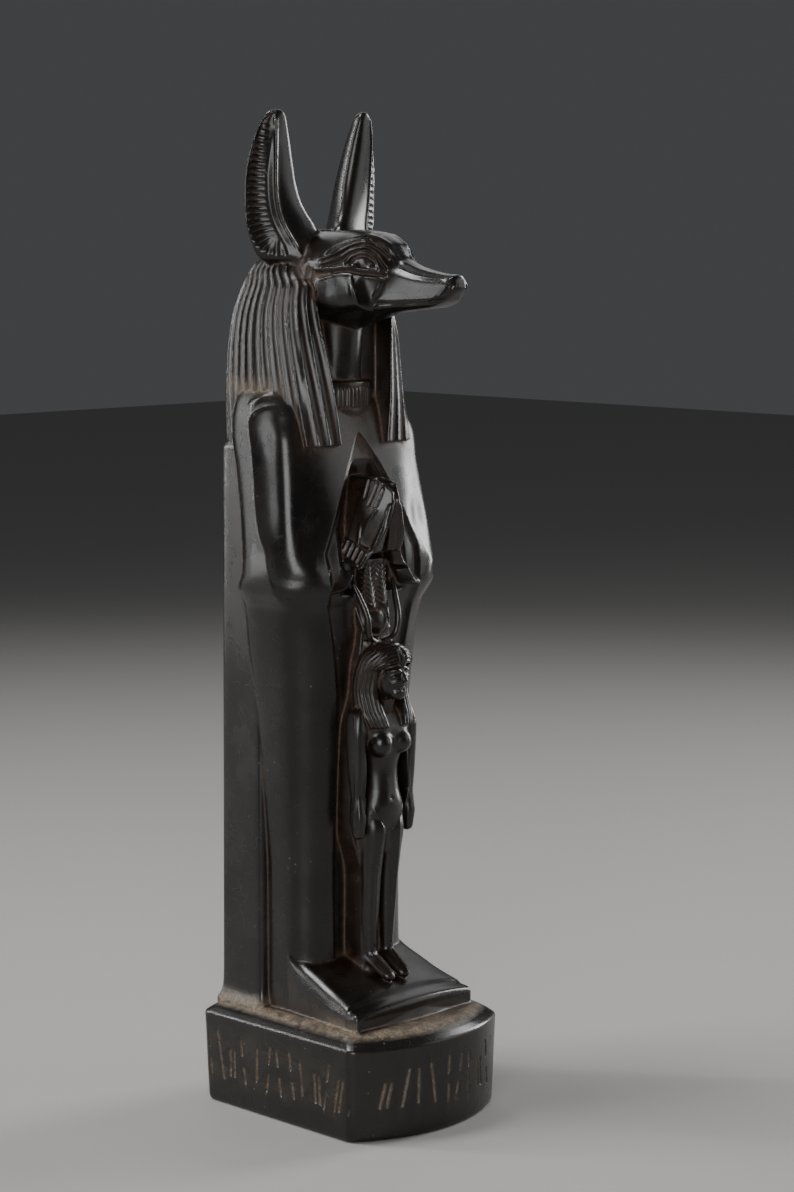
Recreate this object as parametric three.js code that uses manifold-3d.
// A jackal-headed god in a wrapped cloak, standing against a slab on a bowed plinth, with a small
// goddess before the legs. All of it is one casting in black stone, so it is one solid.
// Millimetres, Z up, the front faces -Y. The origin is the middle of the plinth's underside.
import * as THREE from 'three';
import { mergeVertices } from 'three/addons/utils/BufferGeometryUtils.js';
import Module from 'manifold-3d';

const wasm = await Module();
wasm.setup();

// Driving dimensions
const PLINTH_WIDTH = 75;
const PLINTH_DEPTH = 90;
const PLINTH_HEIGHT = 38;
const PLINTH_BOW = 12;
const PLINTH_CORNER = 3;
const PLINTH_BEVEL = 4.5;
const PLINTH_DRAFT = 1;
const FIGURE_HEIGHT = 322;
const FIGURE_SETBACK = 6;
const SLAB_WIDTH = 60;
const SLAB_THICKNESS = 23;
const SLAB_HEIGHT = 204;
const SLAB_LEDGE = 2;
const SLAB_EDGE = 1.6;

// The figure is laid out on a grid that is 322 units from the soles to the ear tips, measured from
// its own axis and from the top of the plinth.
const UNIT = FIGURE_HEIGHT / 322;
// How deep the figure and the slab root in the plinth.
const ROOT = 2;

function at(x, y, z) {
  return new THREE.Vector3(x * UNIT, y * UNIT + FIGURE_SETBACK, z * UNIT + PLINTH_HEIGHT);
}

// Solids

function solid(geometry) {
  const bare = geometry.clone();
  bare.deleteAttribute('normal');
  bare.deleteAttribute('uv');
  const merged = mergeVertices(bare, 1e-4);
  const vertProperties = new Float32Array(merged.attributes.position.array);
  const triVerts = new Uint32Array(merged.index.array);
  const corners = [0, 1, 2].map(() => new THREE.Vector3());
  let volume = 0;
  for (let i = 0; i < triVerts.length; i += 3) {
    corners.forEach((corner, k) => corner.fromArray(vertProperties, 3 * triVerts[i + k]));
    volume += corners[0].dot(corners[1].clone().cross(corners[2]));
  }
  if (volume < 0) {
    for (let i = 0; i < triVerts.length; i += 3) {
      const second = triVerts[i + 1];
      triVerts[i + 1] = triVerts[i + 2];
      triVerts[i + 2] = second;
    }
  }
  return new wasm.Manifold(new wasm.Mesh({ numProp: 3, vertProperties, triVerts }));
}

function join(parts) {
  return parts.reduce((whole, part) => whole.add(part));
}

// A closed skin over rings of equal count, with a fan over each end ring.
function loft(rings) {
  const count = rings[0].length;
  const positions = rings.flat().flatMap((p) => [p.x, p.y, p.z]);
  const indices = [];
  for (let r = 0; r + 1 < rings.length; r += 1) {
    for (let i = 0; i < count; i += 1) {
      const a = r * count + i;
      const b = r * count + ((i + 1) % count);
      indices.push(a, b, a + count, b, b + count, a + count);
    }
  }
  for (const r of [0, rings.length - 1]) {
    const middle = new THREE.Vector3();
    rings[r].forEach((p) => middle.addScaledVector(p, 1 / count));
    const hub = positions.length / 3;
    positions.push(middle.x, middle.y, middle.z);
    for (let i = 0; i < count; i += 1) {
      const a = r * count + i;
      const b = r * count + ((i + 1) % count);
      indices.push(...(r ? [hub, a, b] : [hub, b, a]));
    }
  }
  const geometry = new THREE.BufferGeometry();
  geometry.setAttribute('position', new THREE.Float32BufferAttribute(positions, 3));
  geometry.setIndex(indices);
  return solid(geometry);
}

// Rows of numbers, one row a station, with straight lines between them. The function it returns
// gives the row at any place, without its first number, and keeps the stations' own places.
function stations(rows) {
  const direction = Math.sign(rows[rows.length - 1][0] - rows[0][0]);
  const sample = (place) => {
    let k = 0;
    while (k + 2 < rows.length && (rows[k + 1][0] - place) * direction < 0) k += 1;
    const share = (place - rows[k][0]) / (rows[k + 1][0] - rows[k][0]);
    const clamped = Math.min(1, Math.max(0, share));
    return rows[k].slice(1).map((start, column) => start + (rows[k + 1][column + 1] - start) * clamped);
  };
  sample.places = rows.map((row) => row[0]);
  return sample;
}

function signedPower(value, power) {
  return Math.sign(value) * Math.abs(value) ** power;
}

// A rounded box outline of half sizes a and b; the higher the squareness, the squarer.
function squircle(count, a, b, squareness) {
  return Array.from({ length: count }, (_, i) => {
    const turn = (2 * Math.PI * (i + 0.5)) / count;
    return new THREE.Vector2(
      a * signedPower(Math.sin(turn), 2 / squareness),
      b * signedPower(Math.cos(turn), 2 / squareness),
    );
  });
}

// A round bar along a smooth line of points; radii run from end to end, flat squeezes it in depth.
function bar(points, radii, sides, steps, flat = 1) {
  const curve = new THREE.CatmullRomCurve3(points);
  const depth = new THREE.Vector3(0, 1, 0);
  const rings = [];
  for (let k = 0; k <= steps; k += 1) {
    const t = k / steps;
    const along = curve.getTangent(t);
    const across = depth.clone().cross(along).normalize();
    const out = along.clone().cross(across).normalize();
    const place = (radii.length - 1) * t;
    const low = Math.min(Math.floor(place), radii.length - 2);
    const radius = UNIT * (radii[low] + (radii[low + 1] - radii[low]) * (place - low));
    rings.push(Array.from({ length: sides }, (_, i) => {
      const turn = (2 * Math.PI * i) / sides;
      return curve.getPoint(t)
        .addScaledVector(across, radius * Math.cos(turn))
        .addScaledVector(out, radius * flat * Math.sin(turn));
    }));
  }
  return loft(rings);
}

function ball(centre, rx, ry, rz, turnX = 0, segments = 10, rows = 7) {
  const geometry = new THREE.SphereGeometry(UNIT, segments, rows);
  geometry.scale(rx, ry, rz);
  geometry.rotateX(turnX);
  geometry.translate(centre.x, centre.y, centre.z);
  return solid(geometry);
}

// A flat outline in the X-Z plane of the grid, made solid from one depth to another.
function plate(outline, front, back) {
  const shape = new THREE.Shape(outline.map(([x, z]) => new THREE.Vector2(x * UNIT, z * UNIT)));
  const geometry = new THREE.ExtrudeGeometry(shape, {
    depth: (back - front) * UNIT,
    bevelEnabled: false,
    curveSegments: 6,
  });
  geometry.rotateX(Math.PI / 2);
  geometry.translate(0, back * UNIT + FIGURE_SETBACK, PLINTH_HEIGHT);
  return solid(geometry);
}

const SIDES = [-1, 1];

// Plinth

const BOW_STEPS = 10;

// Outline of the plinth, drawn in by an inset: straight sides and back, a front bowed as an arc
// through its two corners and its middle.
function plinthRing(inset, z) {
  const half = PLINTH_WIDTH / 2 - inset;
  const back = PLINTH_DEPTH / 2 - inset;
  const corner = -PLINTH_DEPTH / 2 + PLINTH_BOW + inset;
  const round = PLINTH_CORNER;
  const bowRadius = (half * half + PLINTH_BOW * PLINTH_BOW) / (2 * PLINTH_BOW);
  const bowTurn = Math.asin((half - round * 0.8) / bowRadius);
  const shape = new THREE.Path();
  shape.moveTo(half, back - round);
  shape.absarc(half - round, back - round, round, 0, Math.PI / 2);
  shape.absarc(-half + round, back - round, round, Math.PI / 2, Math.PI);
  shape.lineTo(-half, corner + round * 0.7);
  const points = shape.getPoints(2);
  for (let k = -BOW_STEPS / 2; k <= BOW_STEPS / 2; k += 1) {
    const turn = (2 * bowTurn * k) / BOW_STEPS;
    const y = corner - PLINTH_BOW + bowRadius * (1 - Math.cos(turn));
    points.push(new THREE.Vector2(bowRadius * Math.sin(turn), y));
  }
  points.push(new THREE.Vector2(half, corner + round * 0.7));
  return points.map((p) => new THREE.Vector3(p.x, p.y, z));
}

function plinth() {
  const shoulder = PLINTH_HEIGHT - PLINTH_BEVEL;
  const slope = PLINTH_BEVEL * 0.35;
  return loft([
    plinthRing(PLINTH_DRAFT + 1, 0),
    plinthRing(PLINTH_DRAFT, 1),
    plinthRing(0, shoulder),
    plinthRing(slope, shoulder + PLINTH_BEVEL / 2),
    plinthRing(PLINTH_BEVEL, PLINTH_HEIGHT),
  ]);
}

// Slab behind the figure

function slab() {
  const half = SLAB_WIDTH / 2;
  const back = PLINTH_DEPTH / 2 - SLAB_LEDGE;
  const front = back - SLAB_THICKNESS;
  const ring = (spread, z) => {
    const outer = half + spread;
    const rear = back + spread;
    return [
      [-outer, front], [outer, front],
      [outer, rear - SLAB_EDGE], [outer - SLAB_EDGE, rear],
      [-outer + SLAB_EDGE, rear], [-outer, rear - SLAB_EDGE],
    ].map(([x, y]) => new THREE.Vector3(x, y, z));
  };
  const foot = SLAB_LEDGE * 0.8;
  return loft([
    ring(foot, PLINTH_HEIGHT - ROOT),
    ring(foot, PLINTH_HEIGHT + 0.4),
    ring(0, PLINTH_HEIGHT + 3 * SLAB_LEDGE),
    ring(-1, PLINTH_HEIGHT + SLAB_HEIGHT),
  ]);
}

// Foot block: low at the toes, rising in a slope to the shins

function footBlock() {
  const rows = [
    // depth, half width, edge height, middle height
    [-37, 24, 4, 5], [-36, 28, 4.2, 6], [-31.5, 29.8, 5.4, 8.4], [-28, 29.5, 7, 10.4], [-20, 29, 9.8, 13.4],
    [-12, 28.4, 13, 16.6], [-3, 27.6, 16.5, 20], [2, 27, 21, 24], [5, 26.6, 28, 30], [14, 26.4, 34, 36],
  ];
  const rings = rows.map(([y, half, side, middle]) => {
    const bow = (share) => (y < -31 ? 2.4 * share * share : 0);
    return [
      [-half, -ROOT], [-half, side - 2.2], [-half + 2, side], [-half / 2, (side + 2 * middle) / 3],
      [half / 2, (side + 2 * middle) / 3], [half - 2, side], [half, side - 2.2], [half, -ROOT],
    ].map(([x, z]) => at(x, y + bow(x / half), z));
  });
  return loft(rings);
}

// Cloaked body

const BODY_POINTS = 20;
const bodyRows = stations([
  // height, half width, front, back, squareness
  [-ROOT, 27, -8, 26, 3.4],
  [22, 26.8, -7, 26, 3.2],
  [48, 26.8, -7.4, 26, 3],
  [76, 28, -8.8, 27, 2.9],
  [112, 30.2, -11.2, 28, 2.9],
  [134, 32.4, -13, 29, 3],
  [147, 34.4, -14.2, 28, 3.2],
  [152, 38.8, -15.2, 26, 3.7],
  [158, 40.4, -15.4, 25, 3.9],
  [168, 39.8, -14.2, 26, 3.8],
  [181, 38.6, -12, 28.4, 3.7],
  [196, 37.2, -9, 30.8, 3.8],
  [208, 35.8, -5.8, 32, 4],
  [217, 34, -3.2, 32, 3.8],
  [222, 31.6, -0.4, 31, 3.6],
  [225, 27.5, 4, 28, 3.2],
]);

function bodyRing(z, inset) {
  const [half, front, back, squareness] = bodyRows(z);
  const middle = (front + back) / 2;
  return squircle(BODY_POINTS, half - inset, (back - front) / 2 - inset, squareness)
    .map((p) => at(p.x, middle - p.y, z));
}

function body(inset) {
  return loft(bodyRows.places.map((z) => bodyRing(z, inset)));
}

// The cloak parts from the breastbone, is widest at the wrists and hangs open to the feet.
const CLOAK_STEP = 1.4;

function cloakOpening() {
  const right = [[0, 209], [8, 197], [16, 182], [23.5, 167], [22, 150], [18, 132], [15, 114], [13.5, 20]];
  const left = right.slice(1).reverse().map(([x, z]) => [-x, z]);
  return plate([...right, ...left], -40, 6);
}

// Wig: strands fall from the crown over the shoulders, and the front ones make the lappets

const STRANDS = 18;
const wigRows = stations([
  // height, inner edge x y, front corner x y, side x y, back corner x y, back y, groove depth
  [204.5, 10.3, -9.6, 24.8, -8, 31, 12, 26, 36, 41.5, 1],
  [220, 12.5, -8.6, 25, -5.5, 30.7, 12, 25.9, 36.8, 42.3, 1],
  [237, 14.8, -6.4, 24.6, -3.2, 29.5, 12, 24.8, 37, 42.5, 1],
  [249, 16.4, -4.7, 23.2, -2.2, 27.8, 12, 23.4, 35.9, 41.2, 1],
  [260, 17.3, -3.6, 20.8, -1.6, 25, 12, 21.2, 32.8, 38.2, 1],
  [267, 16.6, 4, 18.4, 5.4, 22.2, 12.6, 19.2, 29.6, 34.4, 0.1],
  [275, 10, 6, 12, 7, 15, 12, 12.6, 22, 26.5, 0],
  [280, 4, 6, 5, 6.5, 6.5, 11, 5, 16, 18.5, 0],
]);

function wigRing(z) {
  const [innerX, innerY, frontX, frontY, sideX, sideY, rearX, rearY, backY, groove] = wigRows(z);
  const outline = new THREE.SplineCurve([
    [innerX, innerY + 1], [innerX + 1.5, innerY], [frontX - 2, frontY], [frontX + 1.4, frontY + 3],
    [sideX, sideY], [sideX - 0.4, (sideY + rearY) / 2], [rearX, rearY], [rearX * 0.55, backY - 0.6],
    [0, backY],
  ].map(([x, y]) => new THREE.Vector2(x, y)));
  const steps = 2 * STRANDS;
  const half = outline.getSpacedPoints(steps).map((p, i) => {
    const along = outline.getTangentAt(i / steps);
    const depth = i % 2 ? 0 : groove;
    return [p.x - along.y * depth, p.y + along.x * depth];
  });
  const mirrored = (points) => points.slice().reverse().map(([x, y]) => [-x, y]);
  const inward = [[innerX * 0.4, innerY + 9], [innerX - 0.3, innerY + 7]];
  const ring = [...inward, ...half, ...mirrored(half.slice(0, -1)), ...mirrored(inward)];
  return ring.map(([x, y]) => at(x, y, z));
}

function wig() {
  return loft(wigRows.places.map(wigRing));
}

// Neck and barred collar

const COLLAR_BARS = 9;
const COLLAR_PITCH = 0.258;
const COLLAR_HALF = 14;
const COLLAR_DEEP = 10.4;
const COLLAR_AXIS = 7;

// The collar is a round band with a plain rim above and below a row of upright bars.
function neckAndCollar() {
  const column = [[196, 15, -3.5], [224, 13, -2.4], [226, 9.5, -1.6], [236, 9, -2.6], [252, 10, -4]];
  const neck = loft(column.map(([z, half, front]) => (
    squircle(10, half, 8, 2.4).map((p) => at(p.x, front + 8 - p.y, z)))));
  const rows = [
    // height, how proud the bars stand, how proud the gaps between them stand
    [214.4, 0.4, 0.4], [215, 1, 1], [216.8, 1, 1], [217, 0.9, -0.3],
    [224.2, 0.9, -0.3], [224.4, 1, 1], [226.2, 1, 1], [226.8, 0.2, 0.2],
  ];
  const collar = loft(rows.map(([z, high, low]) => {
    const front = [];
    for (let k = 0; k < 2 * COLLAR_BARS; k += 1) {
      const edge = k % 2 ? 0.22 : -0.22;
      const turn = COLLAR_PITCH * (Math.floor(k / 2) - (COLLAR_BARS - 1) / 2 + edge);
      const proud = k % 2 ? high : low;
      const x = (COLLAR_HALF + proud) * Math.sin(turn);
      front.push(at(x, COLLAR_AXIS - (COLLAR_DEEP + proud) * Math.cos(turn), z));
    }
    return [at(1 - COLLAR_HALF, COLLAR_AXIS + 2, z), ...front, at(COLLAR_HALF - 1, COLLAR_AXIS + 2, z)];
  }));
  return join([neck, collar]);
}

// Jackal head

const HEAD_POINTS = 16;
const headRows = stations([
  // depth, half width, top, bottom, squareness
  [24, 8, 272, 258, 2.2],
  [16, 14.5, 276.5, 252, 2.4],
  [5, 17.3, 279.6, 248.5, 2.8],
  [-5, 18, 280, 247.5, 3],
  [-13, 17.5, 279.3, 248, 3.2],
  [-19, 15.8, 278.4, 249, 3.2],
  [-23, 13, 277.5, 250, 3.1],
  [-27, 10.6, 276, 251, 2.9],
  [-29.8, 9, 272.8, 251.5, 2.6],
  [-32.6, 8.1, 269.9, 251.9, 2.4],
  [-40, 6.9, 267.4, 252.6, 2.4],
  [-47, 6, 266, 253.3, 2.4],
  [-52.5, 5.4, 265.2, 254.4, 2.4],
  [-55.2, 4.4, 264.3, 256.6, 2.3],
  [-56.4, 2.6, 263, 258.6, 2.2],
]);

// Half width of the head at a depth and a height.
function headSide(y, z) {
  const [half, top, bottom, squareness] = headRows(y);
  const share = Math.min(0.98, Math.abs((2 * z - top - bottom) / (top - bottom)));
  return half * (1 - share ** squareness) ** (1 / squareness);
}

function skull() {
  return loft(headRows.places.map((y) => {
    const [half, top, bottom, squareness] = headRows(y);
    return squircle(HEAD_POINTS, half, (top - bottom) / 2, squareness)
      .map((p) => at(p.x, y, (top + bottom) / 2 + p.y));
  }));
}

// A raised line on the side of the head through points of depth and height, with its root inside.
const LINE_ROOT = 3;

function headLine(side, trace, radius, steps) {
  const curve = new THREE.CatmullRomCurve3(trace.map(([y, z]) => new THREE.Vector3(0, y, z)));
  const rings = [];
  for (let k = 0; k <= steps; k += 1) {
    const { y, z } = curve.getPoint(k / steps);
    const along = curve.getTangent(k / steps);
    const wide = radius * (k % steps ? 1 : 0.6);
    const skin = headSide(y, z);
    const [, top, bottom] = headRows(y);
    const inside = z + ((top + bottom) / 2 - z) * 0.25;
    rings.push([
      at(side * (skin + wide * 0.8), y, z),
      at(side * (skin - 0.2), y - along.z * wide, z + along.y * wide),
      at(side * (skin - LINE_ROOT), y + 0.6, inside),
      at(side * (skin - 0.2), y + along.z * wide, z - along.y * wide),
    ]);
  }
  return loft(rings);
}

function face(side) {
  const eye = ball(at(side * (headSide(-21.5, 268.5) - 0.9), -21.5, 268.5), 2.4, 5, 2.3, 0, 7, 4);
  const lids = [
    [[-13, 267.6], [-17, 270.6], [-22, 272], [-26, 270], [-29.5, 266.6]],
    [[-13, 267.6], [-18, 266.2], [-24, 265.6], [-29.5, 266.6]],
  ].map((trace) => headLine(side, trace, 0.8, 4));
  const brows = [
    [[-1, 270.4], [-10, 274], [-20, 276.4], [-26, 273.4], [-31, 267.6]],
    [[-1, 268], [-9, 271], [-19, 274], [-25.5, 271.4], [-30.4, 266]],
  ].map((trace) => headLine(side, trace, 0.85, 5));
  const tail = headLine(side, [[0, 262.4], [-7, 265], [-13, 266.6]], 0.8, 3);
  return join([eye, ...lids, ...brows, tail]);
}

function mouthCut(side) {
  const trace = [[-17, 254.6], [-26, 255], [-37, 254.8], [-48, 255.2]];
  return bar(trace.map(([y, z]) => at(side * (headSide(y, z) + 0.2), y, z)), [0.4, 0.9, 0.9, 0.5], 4, 3);
}

// Ears: scoops that open forward and outward, with short ribs inside the outer rim

const EAR_RIBS = 9;
const earRows = stations([
  // height, outer rim x y, ridge x y, inner front x y, inner back x y
  [262, 25, 19, 17, 5, 8, 6, 13, 23],
  [268, 27.5, 18.2, 17.6, 4.8, 6.5, 7, 12.5, 25.5],
  [273.5, 29.8, 18.4, 19.3, 6.8, 6.2, 8.5, 12.4, 26.5],
  [282, 32.4, 19.4, 22.2, 10.6, 8.4, 10.6, 13, 26.4],
  [291, 33.4, 19.8, 23.7, 12.8, 11.4, 12.6, 14.4, 25],
  [298, 33, 19.5, 23.6, 13.5, 12.9, 12.9, 15.5, 23.2],
  [305, 31.9, 18.9, 23.8, 13.4, 15, 13, 16.8, 21.4],
  [312, 30.4, 17.8, 23.6, 13.3, 16.6, 12.8, 17.8, 19.8],
  [317, 28.2, 16.6, 23, 13, 17.6, 12.2, 18.4, 18],
  [320.5, 25.6, 15, 22.4, 12.6, 18.8, 11.8, 19.4, 16],
  [322, 22.2, 13.4, 21.4, 12.6, 20.2, 12.4, 20.6, 13.8],
]);

function earRing(side, z, ribbed) {
  const [rimX, rimY, ridgeX, ridgeY, frontX, frontY, backX, backY] = earRows(z);
  const open = Math.min(1, (earRows.places.at(-1) - z) / 14, (z - earRows.places[0]) / 10);
  const deep = 3.6 * open;
  const wall = (ribbed ? 1.1 : 2.2) * open;
  const ring = [
    [rimX, rimY],
    [rimX - 0.16 * (rimX - ridgeX), rimY - 0.16 * (rimY - ridgeY) + wall],
    [rimX - 0.55 * (rimX - ridgeX), rimY - 0.55 * (rimY - ridgeY) + deep],
    [ridgeX + 0.14 * (rimX - ridgeX), ridgeY + 0.14 * (rimY - ridgeY) + deep * 0.7],
    [ridgeX, ridgeY],
    [(ridgeX + frontX) / 2, (ridgeY + frontY) / 2 - 0.6],
    [frontX, frontY + 0.6],
    [frontX - 0.4, (frontY + backY) / 2],
    [backX, backY - 0.5],
    [backX + 0.3 * (rimX - backX), backY + 0.8 * open],
    [backX + 0.75 * (rimX - backX), backY + 0.45 * (rimY - backY) + 0.6 * open],
  ];
  return ring.map(([x, y]) => at(side * x, y, z));
}

function ear(side) {
  const ribStart = 277;
  const ribEnd = 316;
  const plain = (z) => earRing(side, z, false);
  const below = earRows.places.filter((z) => z < ribStart).map(plain);
  const above = earRows.places.filter((z) => z > ribEnd + 3).map(plain);
  const ribs = Array.from({ length: 2 * EAR_RIBS }, (_, k) => (
    earRing(side, ribStart + ((ribEnd - ribStart) * k) / (2 * EAR_RIBS - 1), k % 2)));
  return loft([...below, ...ribs, ...above]);
}

// Hands: tented before the chest, front edges together and fingertips up, back edges apart

const HAND_DEPTH = new THREE.Vector3(0.44, 0.88, 0.16);
const FINGER_LENGTHS = [0.84, 0.97, 1, 0.9];

// A flat limb through sections of centre, half thickness and half depth.
function limb(side, sections, sides, squareness) {
  const deepways = HAND_DEPTH.clone().normalize();
  const centres = sections.map(([x, y, z]) => new THREE.Vector3(x, y, z));
  return loft(sections.map(([, , , thick, deep], k) => {
    const along = centres[Math.min(k + 1, centres.length - 1)].clone().sub(centres[Math.max(k - 1, 0)]);
    const across = along.cross(deepways).normalize();
    return squircle(sides, thick, deep, squareness).map((p) => {
      const q = centres[k].clone().addScaledVector(across, p.x).addScaledVector(deepways, p.y);
      return at(side * q.x, q.y, q.z);
    });
  }));
}

function hand(side) {
  const palm = limb(side, [
    [13, -12.8, 164.6, 3, 6], [9.6, -13.8, 171, 2.9, 6.4], [6.2, -16.8, 179, 2.9, 7.6],
    [5, -17.6, 184.5, 2.3, 7.4],
  ], 8, 3);
  const fingers = FINGER_LENGTHS.map((long, k) => {
    const base = [7.4 - 1.4 * k, -12.4 - 3.3 * k, 181 - 1.1 * k];
    const tip = [3.2 - 0.5 * k, -13.6 - 3.6 * k, 181 + 15 * long - 2.2 * k];
    return bar([
      at(side * base[0], base[1], base[2]),
      at(side * ((base[0] + tip[0]) / 2 + 0.6), (base[1] + tip[1]) / 2, (base[2] + tip[2]) / 2),
      at(side * tip[0], tip[1], tip[2]),
    ], [2.1, 2, 1.3], 5, 2);
  });
  const thumb = bar([
    at(side * 8.6, -18, 169), at(side * 5, -21.6, 176), at(side * 1.8, -24.6, 184),
  ], [2.2, 2, 1.2], 5, 2);
  const cuff = limb(side, [
    [14.6, -12.6, 162, 4.1, 7.5], [13.2, -12.7, 164, 3.6, 7], [10.8, -13.2, 168.4, 3.6, 7],
    [9.8, -13.6, 170.4, 4, 7.4],
  ], 8, 2.8);
  const sleeve = limb(side, [
    [24, -8, 152, 5, 7.6], [18.4, -12.4, 156.6, 4.4, 7.4], [14.6, -12.6, 162, 3.6, 7],
  ], 8, 2.6);
  return join([palm, ...fingers, thumb, cuff, sleeve]);
}

// The stone left between the hands and the chest.
function handGround() {
  const half = [[9.5, 166], [8.5, 176], [5, 188], [2.6, 194]];
  return plate([...half, ...half.slice().reverse().map(([x, z]) => [-x, z])], -15, -3);
}

// Goddess

const goddessTorso = [
  // height, half width, front, squareness
  [58, 8.4, -19.6, 2.4],
  [66, 9.6, -21.2, 2.4],
  [74, 9.3, -22.4, 2.3],
  [81, 7.2, -22.4, 2.2],
  [88, 7, -21.8, 2.2],
  [98, 9.2, -22.8, 2.4],
  [106, 11.2, -21.6, 2.8],
  [111, 9, -19.5, 2.6],
];
const GODDESS_BACK = -9;

// The stone left standing behind the goddess, which joins her to the panel.
function goddessGround() {
  const half = [
    [7.4, 12], [7.4, 52], [12.4, 63], [12.6, 111], [9.4, 116], [9, 128], [6.4, 134], [6.4, 150], [5, 164],
  ];
  const outline = [...half, ...half.slice().reverse().map(([x, z]) => [-x, z])];
  return plate(outline, -14.2, -3);
}

function goddessBody() {
  const torso = loft(goddessTorso.map(([z, half, front, squareness]) => (
    squircle(10, half, (GODDESS_BACK - front) / 2, squareness)
      .map((p) => at(p.x, (front + GODDESS_BACK) / 2 - p.y, z)))));
  const limbs = SIDES.flatMap((side) => {
    const leg = loft([
      [17, 3.6, -15.4, 2.7, 3], [28, 3.8, -15.8, 2.9, 3.2], [42, 4.2, -16.6, 3.7, 3.8],
      [60, 4.7, -16.6, 4.4, 4.8], [69, 4.8, -16.6, 4.7, 5.2],
    ].map(([z, x, y, half, deep]) => (
      squircle(8, half, deep, 2.2).map((p) => at(side * x + p.x, y - p.y, z)))));
    const foot = loft([
      [-9, 3, 24, 16], [-16, 2.9, 22.6, 15], [-21, 3, 18.4, 12], [-26.8, 2.4, 15.4, 10],
    ].map(([y, half, top, bottom]) => (
      squircle(6, half, (top - bottom) / 2, 2.6).map((p) => (
        at(side * 3.7 + p.x, y, (top + bottom) / 2 + p.y))))));
    const arm = bar([
      at(side * 10.6, -15.8, 111), at(side * 12, -16.4, 105), at(side * 12.4, -16.8, 84),
      at(side * 12.2, -17.4, 70), at(side * 12, -17.4, 64.4),
    ], [1.4, 3.1, 2.7, 2.2, 2.4, 1.8], 6, 5, 1.4);
    const breast = ball(at(side * 4.8, -21.4, 96), 4, 4.2, 4.1, 0, 7, 5);
    return [leg, foot, arm, breast];
  });
  return join([goddessGround(), torso, ...limbs]);
}

function goddessHead() {
  const neck = bar([at(0, -17, 108), at(0, -19.4, 118)], [4, 3.8], 8, 1);
  const skullBall = ball(at(0, -20.4, 122.4), 6.4, 8.6, 8.8, 0.1, 8, 6);
  const nose = bar([at(0, -28.4, 124.2), at(0, -29.8, 120.8)], [0.6, 1.2], 5, 1);
  const lips = ball(at(0, -28, 118.2), 1.7, 0.9, 0.8, 0, 5, 3);
  const chin = ball(at(0, -26.6, 115.8), 2.6, 2, 1.8, 0, 6, 4);
  const eyes = SIDES.map((side) => ball(at(side * 2.8, -27.4, 123), 1.6, 1, 0.8, 0, 5, 3));
  const hair = loft([
    // height, half width, front, back
    [101, 10.6, -24.4, -11], [106, 11.2, -24, -11], [117, 10.5, -21.8, -10.4],
    [124, 10.2, -24.6, -10.6], [128, 9.8, -27.8, -11], [131.6, 7.6, -26.6, -12], [133.4, 4, -23, -14],
  ].map(([z, half, front, back]) => (
    squircle(18, half, (back - front) / 2, 2.6).map((p, i) => {
      const groove = i % 2 ? 0.94 : 1;
      return at(p.x * groove, (front + back) / 2 - p.y * groove, z);
    }))));
  const facePocket = loft([
    [100, 4.4], [108, 4.4], [114, 5.8], [120, 6.4], [127.6, 5.8],
  ].map(([z, half]) => squircle(10, half, 6, 3).map((p) => at(p.x, -27.5 - p.y, z))));
  const serpent = bar([at(0, -27.2, 126.6), at(0, -28.2, 130), at(0, -24.6, 132.6)], [1, 1.5, 1], 5, 2);
  return join([neck, skullBall, nose, lips, chin, ...eyes, hair.subtract(facePocket), serpent]);
}

// Crown: a disk between lyre horns on a low cap, with two plumes behind it

const CROWN_DEPTH = 9;
const CROWN_LEAN = 0.3;

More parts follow.
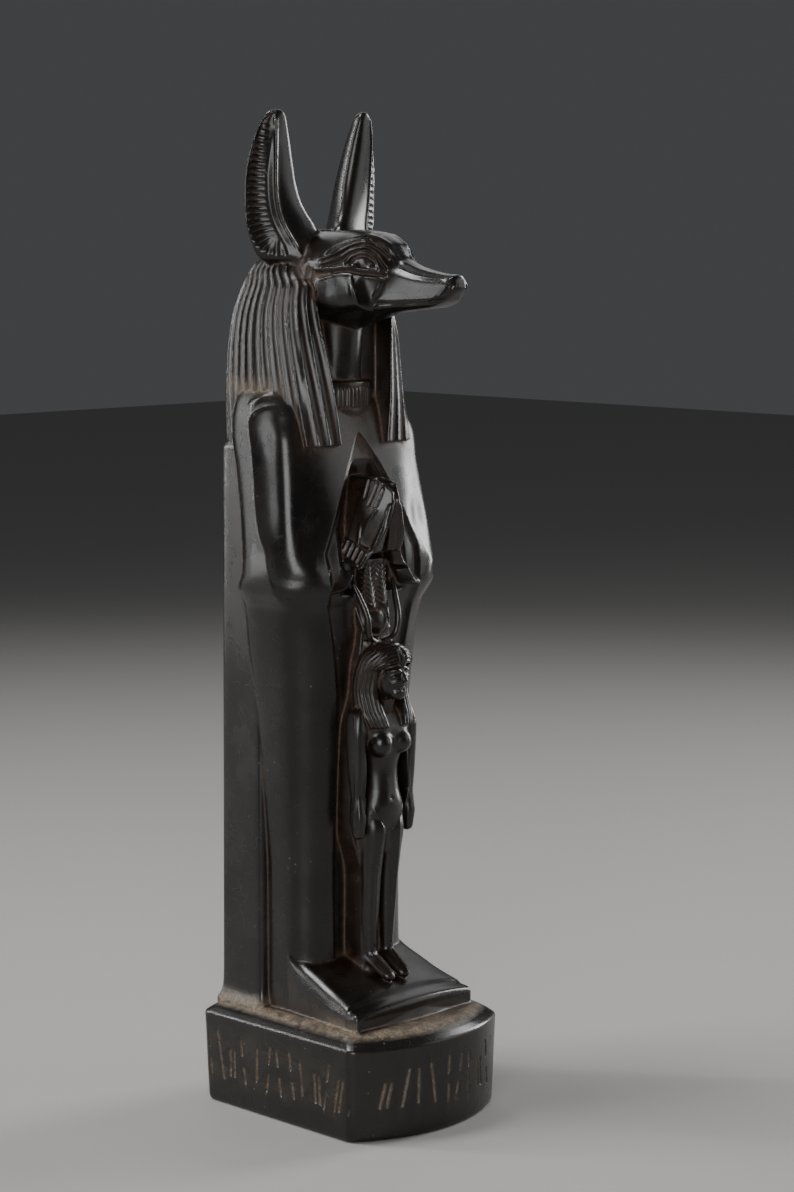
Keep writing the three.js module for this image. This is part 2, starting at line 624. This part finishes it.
function goddessCrown() {
  const half = [[6.6, 0], [7.6, 4.5], [8.8, 13.5], [10.2, 22], [8.6, 21.5], [5.4, 15.5], [3, 18]];
  const outline = [...half, ...half.slice().reverse().map(([x, z]) => [-x, z])];
  const shape = new THREE.Shape(outline.map(([x, z]) => new THREE.Vector2(x * UNIT, z * UNIT)));
  const geometry = new THREE.ExtrudeGeometry(shape, { depth: CROWN_DEPTH * UNIT, bevelEnabled: false });
  geometry.rotateX(Math.PI / 2 - CROWN_LEAN);
  const foot = at(0, -10, 136.5);
  geometry.translate(foot.x, foot.y, foot.z);
  const board = solid(geometry);
  const cap = loft([[130, 6], [140, 7.2]].map(([z, wide]) => (
    squircle(10, wide, 4.4, 3).map((p) => at(p.x, -15.4 - p.y, z)))));
  const horns = SIDES.map((side) => bar([
    at(side * 2, -19.6, 136.4), at(side * 6.4, -19, 137.4), at(side * 7.8, -17.8, 142),
    at(side * 8.8, -15.6, 149), at(side * 10, -13, 156.6),
  ], [1.3, 1.5, 1.5, 1.3, 0.8], 4, 5));
  const disk = ball(at(0, -16.2, 143), 5.4, 2.6, 5.8, 0.3, 10, 5);
  const plumes = SIDES.map((side) => bar([
    at(side * 2.4, -15, 145), at(side * 2.8, -13.4, 154), at(side * 2.8, -11.8, 163),
  ], [2.8, 3.2, 2.8], 5, 2, 0.7));
  return join([board, cap, ...horns, disk, ...plumes]);
}

// The whole statue

function statue() {
  const cloak = body(0).subtract(cloakOpening());
  return join([
    plinth(),
    slab(),
    footBlock(),
    cloak,
    body(CLOAK_STEP),
    wig(),
    neckAndCollar(),
    skull().subtract(join(SIDES.map(mouthCut))),
    ...SIDES.map(face),
    ...SIDES.map(ear),
    ...SIDES.map(hand),
    handGround(),
    goddessBody(),
    goddessHead(),
    goddessCrown(),
  ]);
}

function mesh(name, form, material) {
  const { vertProperties, triVerts, numProp } = form.getMesh();
  const positions = [];
  for (let i = 0; i < vertProperties.length; i += numProp) {
    positions.push(vertProperties[i], vertProperties[i + 1], vertProperties[i + 2]);
  }
  const geometry = new THREE.BufferGeometry();
  geometry.setAttribute('position', new THREE.Float32BufferAttribute(positions, 3));
  geometry.setIndex(Array.from(triVerts));
  const object = new THREE.Mesh(geometry, material);
  object.name = name;
  return object;
}

const blackStone = new THREE.MeshStandardMaterial({ color: '#1b1817', roughness: 0.34, metalness: 0 });

const group = new THREE.Group();
group.add(mesh('anubis_statue', statue(), blackStone));

export default group;
